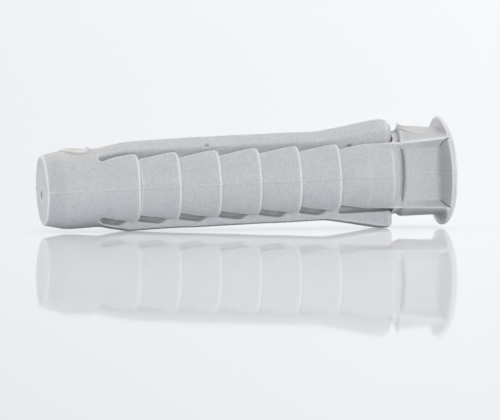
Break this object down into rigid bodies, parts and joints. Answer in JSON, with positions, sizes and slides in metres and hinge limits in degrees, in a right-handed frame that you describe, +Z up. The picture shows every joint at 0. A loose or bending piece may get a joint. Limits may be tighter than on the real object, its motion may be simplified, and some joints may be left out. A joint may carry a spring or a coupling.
{
  "type": "wall anchor",
  "caption": "Universal nylon wall plug: flanged neck with screw bore, toothed legs that bow out, solid nose and sprung locking tongues.",
  "frame": {"origin": "on the plug's axis, in the wall plane under the flange", "axes": "+X along the axis, out of the wall; -X towards the nose; +Z up with a locking tongue above and below; +Y and -Y towards the legs"},
  "size_m": [0.0509, 0.0136, 0.0136],
  "materials": {
    "nylon": "fine spark-eroded grain, light grey polyamide"
  },
  "bodies": {
    "flanged_neck": {"flanged_neck": "nylon"},
    "nose_cone": {"nose_cone": "nylon"},
    "top_locking_tongue": {"top_locking_tongue": "nylon"},
    "bottom_locking_tongue": {"bottom_locking_tongue": "nylon"},
    "front_leg_shoulder": {"front_leg_shoulder": "nylon"},
    "front_leg_tooth_1": {"front_leg_tooth_1": "nylon"},
    "front_leg_tooth_2": {"front_leg_tooth_2": "nylon"},
    "front_leg_tooth_3": {"front_leg_tooth_3": "nylon"},
    "front_leg_tooth_4": {"front_leg_tooth_4": "nylon"},
    "front_leg_tooth_5": {"front_leg_tooth_5": "nylon"},
    "rear_leg_shoulder": {"rear_leg_shoulder": "nylon"},
    "rear_leg_tooth_1": {"rear_leg_tooth_1": "nylon"},
    "rear_leg_tooth_2": {"rear_leg_tooth_2": "nylon"},
    "rear_leg_tooth_3": {"rear_leg_tooth_3": "nylon"},
    "rear_leg_tooth_4": {"rear_leg_tooth_4": "nylon"},
    "rear_leg_tooth_5": {"rear_leg_tooth_5": "nylon"}
  },
  "joints": [
    {"name": "front_leg_root_film", "type": "hinge", "parent": "flanged_neck", "child": "front_leg_shoulder", "pos_m": [-0.00605, -0.0033, 0], "axis": [0, 0, 1], "range_deg": [0, 4], "stiffness_Nm_per_rad": 0.1},
    {"name": "front_leg_film_1", "type": "hinge", "parent": "front_leg_shoulder", "child": "front_leg_tooth_1", "pos_m": [-0.01345, -0.003, 0], "axis": [0, 0, 1], "range_deg": [0, 2.04]},
    {"name": "front_leg_film_2", "type": "hinge", "parent": "front_leg_tooth_1", "child": "front_leg_tooth_2", "pos_m": [-0.01848, -0.003, 0], "axis": [0, 0, 1], "range_deg": [-4.41, 0]},
    {"name": "front_leg_film_3", "type": "hinge", "parent": "front_leg_tooth_2", "child": "front_leg_tooth_3", "pos_m": [-0.02351, -0.003, 0], "axis": [0, 0, 1], "range_deg": [-5.82, 0]},
    {"name": "front_leg_film_4", "type": "hinge", "parent": "front_leg_tooth_3", "child": "front_leg_tooth_4", "pos_m": [-0.02854, -0.003, 0], "axis": [0, 0, 1], "range_deg": [-2.17, 0]},
    {"name": "front_leg_film_5", "type": "hinge", "parent": "front_leg_tooth_4", "child": "front_leg_tooth_5", "pos_m": [-0.03357, -0.003, 0], "axis": [0, 0, 1], "range_deg": [0, 3.38]},
    {"name": "rear_leg_root_film", "type": "hinge", "parent": "flanged_neck", "child": "rear_leg_shoulder", "pos_m": [-0.00605, 0.0033, 0], "axis": [0, 0, -1], "range_deg": [0, 4]},
    {"name": "rear_leg_film_1", "type": "hinge", "parent": "rear_leg_shoulder", "child": "rear_leg_tooth_1", "pos_m": [-0.01345, 0.003, 0], "axis": [0, 0, -1], "range_deg": [0, 2.04]},
    {"name": "rear_leg_film_2", "type": "hinge", "parent": "rear_leg_tooth_1", "child": "rear_leg_tooth_2", "pos_m": [-0.01848, 0.003, 0], "axis": [0, 0, -1], "range_deg": [-4.41, 0]},
    {"name": "rear_leg_film_3", "type": "hinge", "parent": "rear_leg_tooth_2", "child": "rear_leg_tooth_3", "pos_m": [-0.02351, 0.003, 0], "axis": [0, 0, -1], "range_deg": [-5.82, 0]},
    {"name": "rear_leg_film_4", "type": "hinge", "parent": "rear_leg_tooth_3", "child": "rear_leg_tooth_4", "pos_m": [-0.02854, 0.003, 0], "axis": [0, 0, -1], "range_deg": [-2.17, 0]},
    {"name": "rear_leg_film_5", "type": "hinge", "parent": "rear_leg_tooth_4", "child": "rear_leg_tooth_5", "pos_m": [-0.03357, 0.003, 0], "axis": [0, 0, -1], "range_deg": [0, 3.38]},
    {"name": "nose_pull_in", "type": "slide", "parent": "flanged_neck", "child": "nose_cone", "axis": [1, 0, 0], "range_m": [0, 0.000079]},
    {"name": "top_tongue_film", "type": "hinge", "parent": "nose_cone", "child": "top_locking_tongue", "pos_m": [-0.04313, 0, 0.004], "axis": [0, -1, 0], "range_deg": [-2.5, 2.5], "stiffness_Nm_per_rad": 0.1},
    {"name": "bottom_tongue_film", "type": "hinge", "parent": "nose_cone", "child": "bottom_locking_tongue", "pos_m": [-0.04313, 0, -0.004], "axis": [0, 1, 0], "range_deg": [-2.5, 2.5], "stiffness_Nm_per_rad": 0.1}
  ],
  "couplings": [
    {"joint": "front_leg_film_1", "follows": "front_leg_root_film", "ratio": 0.50828},
    {"joint": "front_leg_film_2", "follows": "front_leg_root_film", "ratio": -1.1023},
    {"joint": "front_leg_film_3", "follows": "front_leg_root_film", "ratio": -1.4541},
    {"joint": "front_leg_film_4", "follows": "front_leg_root_film", "ratio": -0.54339},
    {"joint": "front_leg_film_5", "follows": "front_leg_root_film", "ratio": 0.84517},
    {"joint": "rear_leg_root_film", "follows": "front_leg_root_film", "ratio": 1},
    {"joint": "rear_leg_film_1", "follows": "front_leg_root_film", "ratio": 0.50828},
    {"joint": "rear_leg_film_2", "follows": "front_leg_root_film", "ratio": -1.1023},
    {"joint": "rear_leg_film_3", "follows": "front_leg_root_film", "ratio": -1.4541},
    {"joint": "rear_leg_film_4", "follows": "front_leg_root_film", "ratio": -0.54339},
    {"joint": "rear_leg_film_5", "follows": "front_leg_root_film", "ratio": 0.84517},
    {"joint": "nose_pull_in", "follows": "front_leg_root_film", "m_per_rad": 0.0011213}
  ]
}
